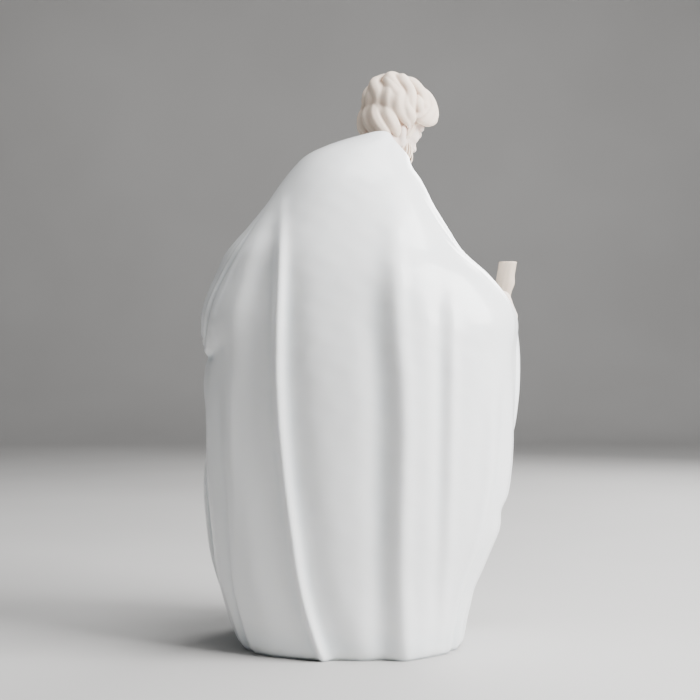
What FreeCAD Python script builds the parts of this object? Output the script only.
"""Glazed porcelain devotional group: a cloaked father with a staff, behind a seated mother and child.

The group is slip-cast in separate moulds and luted together before firing. Each casting is one object.
Millimetres, +Z up. The origin is on the table plane under the middle of the foot, and the group faces -Y.
"""
import FreeCAD, Part
import math
import os

from FreeCAD import Rotation, Vector

doc = FreeCAD.newDocument("porcelain_group")

# ---------------------------------------------------------------- driving dimensions
DIMENSIONS = {
    "total_height": 370.0,
    "left_reach": 95.0,
    "right_reach": 103.0,
    "back_reach": 64.0,
    "front_reach": 66.0,
    "wall_thickness": 4.5,
    "slab_thickness": 5.0,
    "foot_left": 71.5,
    "foot_right": 70.5,
    "foot_back": 56.0,
    "foot_front": 84.0,
    "slab_front": 88.0,
    "slab_front_width": 132.0,
    "slab_front_depth": 36.0,
    "vent_radius": 5.0,
    "vent_offset": 22.0,
    "luting_gap": 0.4,
    "tenon_radius": 6.0,
    "tenon_length": 9.0,
    "father_skull_width": 40.0,
    "father_skull_depth": 48.0,
    "father_skull_height": 49.0,
    "father_head_x": -31.0,
    "father_head_y": -25.0,
    "father_turn": 50.0,
    "father_nod": 25.0,
    "mother_skull_width": 26.0,
    "mother_skull_depth": 30.0,
    "mother_skull_height": 35.0,
    "mother_head_x": 4.0,
    "mother_head_y": -61.0,
    "mother_head_z": 228.0,
    "mother_turn": 28.0,
    "mother_nod": 20.0,
    "child_skull": 25.0,
    "child_head_x": -31.0,
    "child_head_y": -88.0,
    "child_head_z": 186.0,
    "veil_thickness": 3.5,
    "knee_height": 104.0,
    "knee_front": 98.0,
    "staff_radius": 5.0,
    "staff_top_radius": 6.0,
    "staff_top_x": -107.0,
    "staff_top_y": -52.0,
    "staff_top_z": 247.0,
    "staff_foot_x": -55.0,
    "staff_foot_y": -72.0,
    "grip_height": 213.0,
    "hand_length": 24.0,
    "wrist_radius": 6.0,
}

sheet = doc.addObject("Spreadsheet::Sheet", "dims")
for row, (alias, value) in enumerate(DIMENSIONS.items(), start=1):
    sheet.set("A%d" % row, alias)
    sheet.set("B%d" % row, repr(value))
    sheet.setAlias("B%d" % row, alias)
doc.recompute()


def cell(alias):
    """The value of a driving dimension, read back from the sheet."""
    return float(sheet.get(alias))


HEIGHT = cell("total_height")
WALL = cell("wall_thickness")
SLAB = cell("slab_thickness")
GAP = cell("luting_gap")
SLAB_INSET = WALL + 4.0
RING_POINTS = 40


# ---------------------------------------------------------------- helpers
def ring(z, left, right, back, front, mid=0.0, tilt=0.0, ripple=None):
    """A closed level curve that reaches left in +X, right in -X, back in +Y and front in -Y.

    mid is the y of its widest place, tilt its slope in x, and ripple(angle) a push along the radius.
    """
    middle, half = (left - right) / 2, (left + right) / 2
    points = []
    for i in range(RING_POINTS):
        angle = 2 * math.pi * i / RING_POINTS
        push = ripple(angle) if ripple else 0.0
        depth = back - mid if math.cos(angle) > 0 else front + mid
        x = middle + (half + push) * math.sin(angle)
        y = mid + (depth + push) * math.cos(angle)
        points.append(Vector(x, y, z + tilt * (x - middle)))
    curve = Part.BSplineCurve()
    curve.interpolate(Points=points, PeriodicFlag=True)
    return Part.Wire([curve.toShape()])


def feature(name, shape):
    """A plain document object that holds a computed shape."""
    made = doc.addObject("Part::Feature", name)
    made.Shape = shape
    return made


def loft(name, rings, ruled=False):
    return feature(name, Part.makeLoft(rings, True, ruled))


def cut(name, base, *tools):
    """base less each tool in turn."""
    for i, tool in enumerate(tools):
        last = i == len(tools) - 1
        made = doc.addObject("Part::Cut", name if last else "%s_step%d" % (name, i))
        made.Base, made.Tool = base, tool
        made.Refine = False
        base = made
    return base


def fuse(name, *shapes):
    made = doc.addObject("Part::MultiFuse", name)
    made.Shapes = list(shapes)
    made.Refine = False
    return made


def ellipsoid(name, size, centre, turn=0.0, nod=0.0, grow=0.0):
    """An ellipsoid facing -Y, turned to the right and bowed, in degrees, with grow added all round.

    size is (width, depth, height), each a number or the name of a sheet cell.
    """
    made = doc.addObject("Part::Ellipsoid", name)
    for prop, side in (("Radius2", size[0]), ("Radius3", size[1]), ("Radius1", size[2])):
        if isinstance(side, str):
            made.setExpression(prop, "dims.%s / 2 + %s" % (side, grow))
        else:
            setattr(made, prop, side / 2 + grow)
    spin = Rotation(Vector(0, 0, 1), -turn) * Rotation(Vector(1, 0, 0), nod)
    made.Placement = FreeCAD.Placement(Vector(*centre), spin)
    return made


def rod(name, start, end, radius, end_radius=None, radius_cell=None):
    """A straight round bar or cone from start to end."""
    start, end = Vector(*start), Vector(*end)
    along = end - start
    spin = Rotation(Vector(0, 0, 1), along)
    if end_radius is None or end_radius == radius:
        made = doc.addObject("Part::Cylinder", name)
        made.Radius = radius
        if radius_cell:
            made.setExpression("Radius", "dims." + radius_cell)
    else:
        made = doc.addObject("Part::Cone", name)
        made.Radius1, made.Radius2 = radius, end_radius
    made.Height = along.Length
    made.Placement = FreeCAD.Placement(start, spin)
    return made


def ball(name, centre, radius):
    made = doc.addObject("Part::Sphere", name)
    made.Radius = radius
    made.Placement.Base = Vector(*centre)
    return made


def facing(turn, nod, ahead, across, up):
    """A step measured in a head's own directions, as a vector in the group's frame."""
    spin = Rotation(Vector(0, 0, 1), -turn) * Rotation(Vector(1, 0, 0), nod)
    return spin.multVec(Vector(across, -ahead, up))


def plus(point, step):
    return (point[0] + step.x, point[1] + step.y, point[2] + step.z)


# ---------------------------------------------------------------- father's cloak
# Each station is (height, left, right, back, front) as shares of the driving dimensions, then how far round
# from the middle of the back the cloak reaches on its left and right, in degrees.
CLOAK_STATIONS = (
    (0.122, 0.853, 0.806, 0.938, 1.12, 127, 126),
    (0.203, 0.884, 0.874, 0.984, 1.10, 128, 127),
    (0.297, 0.932, 0.932, 1.000, 1.06, 129, 129),
    (0.405, 0.974, 0.961, 1.016, 1.00, 131, 132),
    (0.500, 0.979, 0.971, 1.000, 0.94, 136, 136),
    (0.573, 1.000, 0.981, 0.953, 0.91, 142, 139),
    (0.635, 0.916, 0.883, 0.891, 0.79, 150, 138),
    (0.676, 0.832, 0.738, 0.828, 0.67, 155, 138),
    (0.716, 0.716, 0.616, 0.750, 0.61, 158, 136),
    (0.759, 0.579, 0.529, 0.656, 0.52, 161, 130),
    (0.800, 0.463, 0.456, 0.531, 0.42, 164, 122),
    (0.827, 0.389, 0.398, 0.422, 0.33, 165, 118),
)
# Collar stations are (share of the height, then reaches in mm, the two angles, widest y, share of the wall).
COLLAR_STATIONS = (
    (0.851, 25, 37, 21, 20, 160, 117, -2, 1.3),
    (0.875, 6, 35, 14, 19, 150, 114, -5, 1.1),
    (0.900, -8, 31, 8, 18, 140, 112, -7, 0.9),
)
FOOT_REACH = 125
# A fold is (angle round the back, height of its crest, half width in degrees), positive angles to the left.
CLOAK_FOLDS = (
    (28, 3.2, 9),
    (14, -1.6, 9),
    (44, -2.4, 10),
    (-17, -2.6, 9),
    (-26, 2.4, 8),
    (-47, -1.8, 8),
    (-60, 1.6, 8),
)
FOLD_START, FOLD_FULL = 0.78, 0.45
EDGE_ROLL = 1.3


def cloak_ripple(share, turn):
    """How far the folds push the cloak out at one height and angle. They fade out at the shoulders."""
    strength = max(0.0, min(1.0, (FOLD_START - share) / (FOLD_START - FOLD_FULL)))
    return strength * sum(h * math.exp(-(((turn - at) / w) ** 2)) for at, h, w in CLOAK_FOLDS)


def sheet_ring(z, left, right, back, front, reach_left, reach_right, mid=0.0, thick=WALL, ripple=None):
    """A level section of a sheet that wraps the back and stops at two rolled edges in front."""
    middle, half = (left - right) / 2, (left + right) / 2
    steps = 36

    def point(turn, inset):
        push = (ripple(turn) if ripple and not inset else 0.0) - inset
        side, ahead = math.sin(math.radians(turn)), math.cos(math.radians(turn))
        depth = back - mid if ahead > 0 else front + mid
        x = middle + (half + push) * side
        return Vector(x, mid + (depth + push) * ahead, z)

    turns = [-reach_right + (reach_left + reach_right) * i / steps for i in range(steps + 1)]
    outer = [point(turn, 0.0) for turn in turns]
    inner = [point(turn, thick) for turn in turns[::-2]]
    roll = math.degrees(EDGE_ROLL * thick / 2 / half)
    tip_left, tip_right = point(reach_left + roll, thick / 2), point(-reach_right - roll, thick / 2)
    curve = Part.BSplineCurve()
    curve.interpolate(Points=outer + [tip_left] + inner + [tip_right], PeriodicFlag=True)
    return Part.Wire([curve.toShape()])


def cloak_rings():
    left, right = cell("left_reach"), cell("right_reach")
    back, front = cell("back_reach"), cell("front_reach")
    foot = [cell(name) for name in ("foot_left", "foot_right", "foot_back", "foot_front")]
    rings = [sheet_ring(0, *foot, FOOT_REACH, FOOT_REACH, ripple=lambda turn: cloak_ripple(0.0, turn))]
    for share, l, r, b, f, reach_left, reach_right in CLOAK_STATIONS:
        sides = (l * left, r * right, b * back, f * front)
        thick = WALL * (1.0 + 0.5 * max(0.0, share - 0.7) / 0.15)
        folds = lambda turn, share=share: cloak_ripple(share, turn)
        rings.append(sheet_ring(share * HEIGHT, *sides, reach_left, reach_right, thick=thick, ripple=folds))
    for share, l, r, b, f, reach_left, reach_right, mid, thicker in COLLAR_STATIONS:
        thick = thicker * WALL
        rings.append(sheet_ring(share * HEIGHT, l, r, b, f, reach_left, reach_right, mid=mid, thick=thick))
    return rings


def collar_trim():
    """Everything above the collar, which slopes down from the left shoulder to the right."""
    high, low = Vector(-14, 100, 0.896 * HEIGHT), Vector(-36, 100, 0.838 * HEIGHT)
    slope = high - low
    corners = [low - slope * 2, high + slope * 2, Vector(60, 100, 2 * HEIGHT), Vector(-160, 100, 2 * HEIGHT)]
    return Part.Face(Part.makePolygon(corners + corners[:1])).extrude(Vector(0, -200, 0))


cloak_sheet = loft("cloak_sheet", cloak_rings())
cloak = cut("cloak", cloak_sheet, feature("collar_trim", collar_trim()))


def cloak_form_rings():
    """The cloak's outer form as closed rings, for cutting away what would run into it."""
    reaches = [cell(name) for name in ("left_reach", "right_reach", "back_reach", "front_reach")]
    foot = [cell(name) for name in ("foot_left", "foot_right", "foot_back", "foot_front")]
    rings = [ring(0, *foot)]
    for station in CLOAK_STATIONS:
        sides = [share * reach for share, reach in zip(station[1:5], reaches)]
        rings.append(ring(station[0] * HEIGHT, *sides))
    return rings


cloak_form = loft("cloak_form", cloak_form_rings())
doc.recompute()

# ---------------------------------------------------------------- closing slab with its firing vent
slab_body = doc.addObject("PartDesign::Body", "slab_body")
plane = next(p for p in slab_body.Origin.OriginFeatures if p.Role == "XY_Plane")


def sketch_on_floor(name):
    made = slab_body.newObject("Sketcher::SketchObject", name)
    made.AttachmentSupport = [(plane, "")]
    made.MapMode = "FlatFace"
    return made


def half_oval(sketch, half_width, depth, start, centre):
    """Half an ellipse on the +Y (start 0) or -Y (start pi) side of its centre."""
    long_way, short_way = Vector(1, 0, 0), Vector(0, 1, 0)
    shift = 0.0
    if depth > half_width:
        long_way, short_way = Vector(0, 1, 0), Vector(-1, 0, 0)
        shift = -math.pi / 2
    major, minor = max(depth, half_width), min(depth, half_width)
    oval = Part.Ellipse(centre + long_way * major, centre + short_way * minor, centre)
    sketch.addGeometry(Part.ArcOfEllipse(oval, start + shift, start + shift + math.pi), False)


def slab_pad(name, outline):
    made = slab_body.newObject("PartDesign::Pad", name)
    made.Profile = outline
    made.setExpression("Length", "dims.slab_thickness")
    doc.recompute()


slab_middle = Vector((cell("foot_left") - cell("foot_right")) / 2, 0, 0)
inner_outline = sketch_on_floor("inner_outline")
inner_half = (cell("foot_left") + cell("foot_right")) / 2 - SLAB_INSET
half_oval(inner_outline, inner_half, cell("foot_back") - SLAB_INSET, 0.0, slab_middle)
half_oval(inner_outline, inner_half, cell("foot_front") - SLAB_INSET, math.pi, slab_middle)
slab_pad("inner_pad", inner_outline)
front_outline = sketch_on_floor("front_outline")
front_depth = cell("slab_front_depth") / 2
front_middle = Vector(0, front_depth - cell("slab_front"), 0)
half_oval(front_outline, cell("slab_front_width") / 2, front_depth, 0.0, front_middle)
half_oval(front_outline, cell("slab_front_width") / 2, front_depth, math.pi, front_middle)
slab_pad("front_pad", front_outline)
vent_outline = sketch_on_floor("vent_outline")
vent_centre = Vector(0, cell("vent_offset"), 0)
vent_outline.addGeometry(Part.Circle(vent_centre, Vector(0, 0, 1), cell("vent_radius")), False)
vent = slab_body.newObject("PartDesign::Pocket", "vent")
vent.Profile = vent_outline
vent.Type = "ThroughAll"
vent.Reversed = True
doc.recompute()
base_slab = slab_body

# ---------------------------------------------------------------- father's tunic, inside the cloak
# Each ring is (height, left, right, back, front), and the hollow stops below the chest.
TUNIC_RINGS = (
    (SLAB, 46, 48, 34, 12),
    (0.15 * HEIGHT, 44, 46, 34, 12),
    (0.30 * HEIGHT, 45, 47, 35, 14),
    (0.50 * HEIGHT, 50, 52, 38, 18),
    (0.63 * HEIGHT, 50, 52, 38, 27),
    (0.72 * HEIGHT, 42, 46, 32, 32),
    (0.785 * HEIGHT, 30, 40, 22, 26),
    (0.81 * HEIGHT, 14, 33, 12, 22),
    (0.84 * HEIGHT, -8, 29, 3, 20),
)
TUNIC_MIDDLE = -4


def hollow_rings(stations, middle):
    """The stations moved in by one wall, with the upper ones lowered by one wall."""
    rings = []
    for i, (z, left, right, back, front) in enumerate(stations):
        drop = WALL if i else 0.0
        rings.append(ring(z - drop, left - WALL, right - WALL, back - WALL, front - WALL, mid=middle))
    return rings


tunic_form = loft("tunic_form", [ring(*r, mid=TUNIC_MIDDLE) for r in TUNIC_RINGS], ruled=True)
tunic_hollow = loft("tunic_hollow", hollow_rings(TUNIC_RINGS[:-3], TUNIC_MIDDLE), ruled=True)
NECK_FOOT = (-20.0, -10.0, 0.825 * HEIGHT)
FATHER_HEAD = (cell("father_head_x"), cell("father_head_y"), HEIGHT - cell("father_skull_height") / 2)
neck_socket = rod("neck_socket", NECK_FOOT, FATHER_HEAD, cell("tenon_radius") + GAP)
father_tunic = cut("father_tunic", tunic_form, tunic_hollow, neck_socket)

# ---------------------------------------------------------------- father's head with hair and beard
TURN, NOD = cell("father_turn"), cell("father_nod")
father_sides = ("father_skull_width", "father_skull_depth", "father_skull_height")
skull = ellipsoid("father_skull", father_sides, FATHER_HEAD, TURN, NOD)
chin = plus(FATHER_HEAD, facing(TURN, NOD, 12, 0, -17))
beard = ellipsoid("father_beard", (21, 20, 27), chin, TURN, NOD)
neck = rod("father_neck", plus(NECK_FOOT, Vector(0, 0, 8)), FATHER_HEAD, 10.5)
tenon = rod("father_tenon", plus(NECK_FOOT, Vector(0, 0, 1)), FATHER_HEAD, 6.0, radius_cell="tenon_radius")
father_head_form = fuse("father_head_form", skull, beard, neck, tenon)
tunic_tool = cut("tunic_tool", tunic_form, neck_socket)
father_head = cut("father_head", father_head_form, tunic_tool)

# ---------------------------------------------------------------- staff, a bent branch
STAFF_TOP = Vector(cell("staff_top_x"), cell("staff_top_y"), cell("staff_top_z"))
STAFF_FOOT = Vector(cell("staff_foot_x"), cell("staff_foot_y"), SLAB)


def staff_point(z):
    """The straight line of the staff with a slight bow, which grows to BOW mm at mid height."""
    share = (z - STAFF_FOOT.z) / (STAFF_TOP.z - STAFF_FOOT.z)
    bow = 5.0 * math.sin(math.pi * share)
    return STAFF_FOOT + (STAFF_TOP - STAFF_FOOT) * share + Vector(-bow, -bow, 0)


def staff_rings():
    rings = []
    for i in range(9):
        z = STAFF_FOOT.z + (STAFF_TOP.z - STAFF_FOOT.z) * i / 8
        radius = cell("staff_top_radius") if i == 8 else cell("staff_radius") * (0.85 + 0.15 * i / 8)
        rings.append(Part.Wire([Part.Circle(staff_point(z), Vector(0, 0, 1), radius).toShape()]))
    return rings


staff_form = loft("staff_form", staff_rings())

# ---------------------------------------------------------------- father's right sleeve and hand
GRIP = staff_point(cell("grip_height"))
RIGHT_ELBOW = (-80.0, -8.0, 224.0)
RIGHT_WRIST = (GRIP.x + 5, GRIP.y + 10, GRIP.z + 2)
right_cuff = rod("right_cuff", RIGHT_ELBOW, RIGHT_WRIST, 16.0, 12.0)
right_hang = loft(
    "right_hang",
    [
        ring(128, -96, 108, -26, 46, mid=-36),
        ring(150, -94, 111, -20, 52, mid=-36),
        ring(185, -92, 112, -18, 55, mid=-36),
        ring(212, -90, 112, -20, 52, mid=-36),
        ring(224, -92, 104, -24, 46, mid=-36),
    ],
)
right_sleeve_form = fuse("right_sleeve_form", right_cuff, right_hang)
right_palm = ellipsoid("right_palm", (17, 19, 21), (GRIP.x, GRIP.y, GRIP.z))
right_wrist = rod("right_wrist", RIGHT_WRIST, (GRIP.x, GRIP.y, GRIP.z), 6.0, radius_cell="wrist_radius")
right_hand_form = fuse("right_hand_form", right_palm, right_wrist)
father_right_sleeve = cut("father_right_sleeve", right_sleeve_form, cloak_form, right_hand_form, staff_form)
father_right_hand = cut("father_right_hand", right_hand_form, staff_form)
staff = staff_form

# ---------------------------------------------------------------- mother's gown, a hollow seated form
KNEE, LAP = cell("knee_height"), cell("knee_front")
GOWN_RINGS = (
    (SLAB, 44, 46, -22, LAP - 20),
    (0.4 * KNEE, 47, 48, -22, LAP - 14),
    (0.8 * KNEE, 49, 50, -22, LAP - 5),
    (KNEE, 47, 49, -22, LAP),
    (KNEE + 9, 42, 44, -24, LAP - 6),
    (KNEE + 16, 34, 36, -28, LAP - 22),
)
GOWN_MIDDLE = -56
gown_form = loft("gown_form", [ring(*r, mid=GOWN_MIDDLE) for r in GOWN_RINGS], ruled=True)
gown_hollow = loft("gown_hollow", hollow_rings(GOWN_RINGS[:-1], GOWN_MIDDLE), ruled=True)
shoe = ellipsoid("shoe", (13, 26, 10), (-17, -(LAP - 20), SLAB + 4))
mother_shoe = cut("mother_shoe", shoe, gown_form, base_slab)
mother_gown = cut("mother_gown", gown_form, gown_hollow)

# ---------------------------------------------------------------- mother's mantle with the veil
MOTHER_HEAD = (cell("mother_head_x"), cell("mother_head_y"), cell("mother_head_z"))
M_TURN, M_NOD = cell("mother_turn"), cell("mother_nod")
VEIL = cell("veil_thickness")
LAP_TOP = KNEE + 16
mantle_torso = loft(
    "mantle_torso",
    [
        ring(LAP_TOP, 36, 38, -30, 76, mid=-52),
        ring(LAP_TOP + 22, 50, 52, -29, 78, mid=-52),
        ring(LAP_TOP + 50, 50, 50, -29, 74, mid=-52),
        ring(LAP_TOP + 78, 40, 38, -32, 70, mid=-52),
        ring(LAP_TOP + 92, 24, 18, -38, 70, mid=-54),
        ring(LAP_TOP + 100, 14, 8, -44, 68, mid=-56),
    ],
)
mother_sides = ("mother_skull_width", "mother_skull_depth", "mother_skull_height")
veil_form = ellipsoid("veil_form", mother_sides, MOTHER_HEAD, M_TURN, M_NOD, grow=VEIL + 1.5)
veil_room = ellipsoid("veil_room", mother_sides, MOTHER_HEAD, M_TURN, M_NOD, grow=GAP)
face_room = rod("face_room", MOTHER_HEAD, plus(MOTHER_HEAD, facing(M_TURN, M_NOD, 40, 0, 0)), 11.5)
mother_neck_low = (MOTHER_HEAD[0], MOTHER_HEAD[1] + 4, LAP_TOP + 78)
mother_neck_hole = rod("mother_neck_hole", mother_neck_low, MOTHER_HEAD, 7.0 + GAP)
mantle_form = fuse("mantle_form", mantle_torso, veil_form)
mother_mantle_whole = cut("mother_mantle_whole", mantle_form, veil_room, face_room, mother_neck_hole)

mother_skull = ellipsoid("mother_skull", mother_sides, MOTHER_HEAD, M_TURN, M_NOD)
mother_neck = rod("mother_neck", mother_neck_low, MOTHER_HEAD, 7.0)
mother_head = fuse("mother_head", mother_skull, mother_neck)

# ---------------------------------------------------------------- child on the mother's lap
CHILD_HEAD = (cell("child_head_x"), cell("child_head_y"), cell("child_head_z"))
CHILD_CHEST = (-25.0, -91.0, 164.0)
CHILD_HIPS = (10.0, -96.0, 138.0)
CHEST_RADIUS, HIP_RADIUS = 12.5, 11.5
child_chest = ball("child_chest", CHILD_CHEST, CHEST_RADIUS)
child_hips = ball("child_hips", CHILD_HIPS, HIP_RADIUS)
child_trunk = rod("child_trunk", CHILD_CHEST, CHILD_HIPS, CHEST_RADIUS, HIP_RADIUS)
child_body_form = fuse("child_body_form", child_chest, child_trunk, child_hips)
child_head_form = ellipsoid("child_head_form", (24, "child_skull", 26), CHILD_HEAD, -10, -10)
child_neck = rod("child_neck", CHILD_CHEST, CHILD_HEAD, 5.0)
child_head = cut("child_head", fuse("child_head_fuse", child_head_form, child_neck), child_body_form)
child_arm_form = fuse(
    "child_arm_form",
    rod("child_upper_arm", (-16, -100, 168), (-4, -106, 170), 4.2, 3.6),
    ball("child_hand", (-3, -106.5, 170.5), 4.4),
)
child_arm = cut("child_arm", child_arm_form, child_body_form, child_head)

# ---------------------------------------------------------------- mother's hands
right_fingers = ellipsoid("mother_right_palm", (13, 9, 20), (-36, -102, 152))
left_fingers = ellipsoid("mother_left_palm", (20, 9, 13), (12, -108, 133))
mother_right_hand = cut("mother_right_hand", right_fingers, child_body_form, child_head_form)
mother_left_hand = cut("mother_left_hand", left_fingers, child_body_form)
child_body = cut("child_body", child_body_form, mother_mantle_whole, gown_form)
mother_mantle = cut("mother_mantle", mother_mantle_whole, gown_form, child_head)

# ---------------------------------------------------------------- father's left sleeve and hand
LEFT_ELBOW = (80.0, -16.0, 212.0)
LEFT_WRIST = (60.0, -64.0, 206.0)
LEFT_PALM = (52.0, -73.0, 203.0)
left_sleeve_form = rod("left_sleeve_form", LEFT_ELBOW, LEFT_WRIST, 16.0, 11.0)
left_palm = ellipsoid("left_palm", (22, 12, 15), LEFT_PALM, 20, 0)
left_wrist = rod("left_wrist", LEFT_WRIST, LEFT_PALM, 6.0, radius_cell="wrist_radius")
father_left_hand = fuse("father_left_hand", left_palm, left_wrist)
father_left_sleeve = cut("father_left_sleeve", left_sleeve_form, cloak_form, father_left_hand)


# ---------------------------------------------------------------- front falls of the cloak
def fall_ring(z, first, second, bulge, thickness):
    """A level section of a hanging panel, from its left end to its right end, bowed outwards by bulge."""
    start, end = Vector(first[0], first[1], z), Vector(second[0], second[1], z)
    chord = end - start
    normal = Vector(-chord.y, chord.x, 0).normalize()
    steps = 9
    near, far = [], []
    for i in range(steps):
        share = i / (steps - 1)
        wave = 1.6 * math.sin(3 * math.pi * share)
        spine = start + chord * share + normal * (bulge * 4 * share * (1 - share) + wave)
        half = thickness / 2 * (0.35 + 0.65 * math.sin(math.pi * (0.12 + 0.76 * share)))
        near.append(spine + normal * half)
        far.append(spine - normal * half)
    curve = Part.BSplineCurve()
    curve.interpolate(Points=near + far[::-1], PeriodicFlag=True)
    return Part.Wire([curve.toShape()])


left_fall_form = loft(
    "left_fall_form",
    [
        fall_ring(0, (70, -30), (40, -72), 4, 9),
        fall_ring(50, (86, -30), (50, -78), 8, 10),
        fall_ring(97, (92, -30), (53, -82), 9, 10),
        fall_ring(140, (89, -32), (55, -76), 8, 10),
        fall_ring(188, (82, -36), (58, -66), 5, 8),
    ],
)
right_fall_form = loft(
    "right_fall_form",
    [
        fall_ring(0, (-45, -62), (-70, -28), 3, 8),
        fall_ring(50, (-50, -66), (-87, -30), 7, 9),
        fall_ring(97, (-54, -66), (-100, -30), 5, 9),
        fall_ring(126, (-58, -62), (-101, -30), 4, 8),
    ],
)
cloak_left_fall = cut("cloak_left_fall", left_fall_form, base_slab, cloak_form, gown_form, left_sleeve_form)
cloak_right_fall = cut("cloak_right_fall", right_fall_form, base_slab, cloak_form, gown_form, staff_form)

# ---------------------------------------------------------------- checks and export
PARTS = {
    "cloak": cloak,
    "base_slab": base_slab,
    "father_tunic": father_tunic,
    "father_head": father_head,
    "staff": staff,
    "father_right_sleeve": father_right_sleeve,
    "father_right_hand": father_right_hand,
    "father_left_sleeve": father_left_sleeve,
    "father_left_hand": father_left_hand,
    "cloak_left_fall": cloak_left_fall,
    "cloak_right_fall": cloak_right_fall,
    "mother_gown": mother_gown,
    "mother_shoe": mother_shoe,
    "mother_mantle": mother_mantle,
    "mother_head": mother_head,
    "mother_right_hand": mother_right_hand,
    "mother_left_hand": mother_left_hand,
    "child_body": child_body,
    "child_head": child_head,
    "child_arm": child_arm,
}
doc.recompute()
for made in doc.Objects:
    if "Invalid" in made.State or "Error" in made.State:
        raise RuntimeError("%s failed to recompute: %s" % (made.Name, made.State))
os.makedirs("parts", exist_ok=True)
for label, made in PARTS.items():
    made.Label = label
    shape = made.Shape
    if shape.isNull() or not shape.isValid() or not shape.Solids:
        raise RuntimeError("%s has no valid solid" % label)
    print("%-22s solids %d volume %.1f cm3" % (label, len(shape.Solids), shape.Volume / 1000))
    shape.exportStep(os.path.join("parts", label + ".step"))
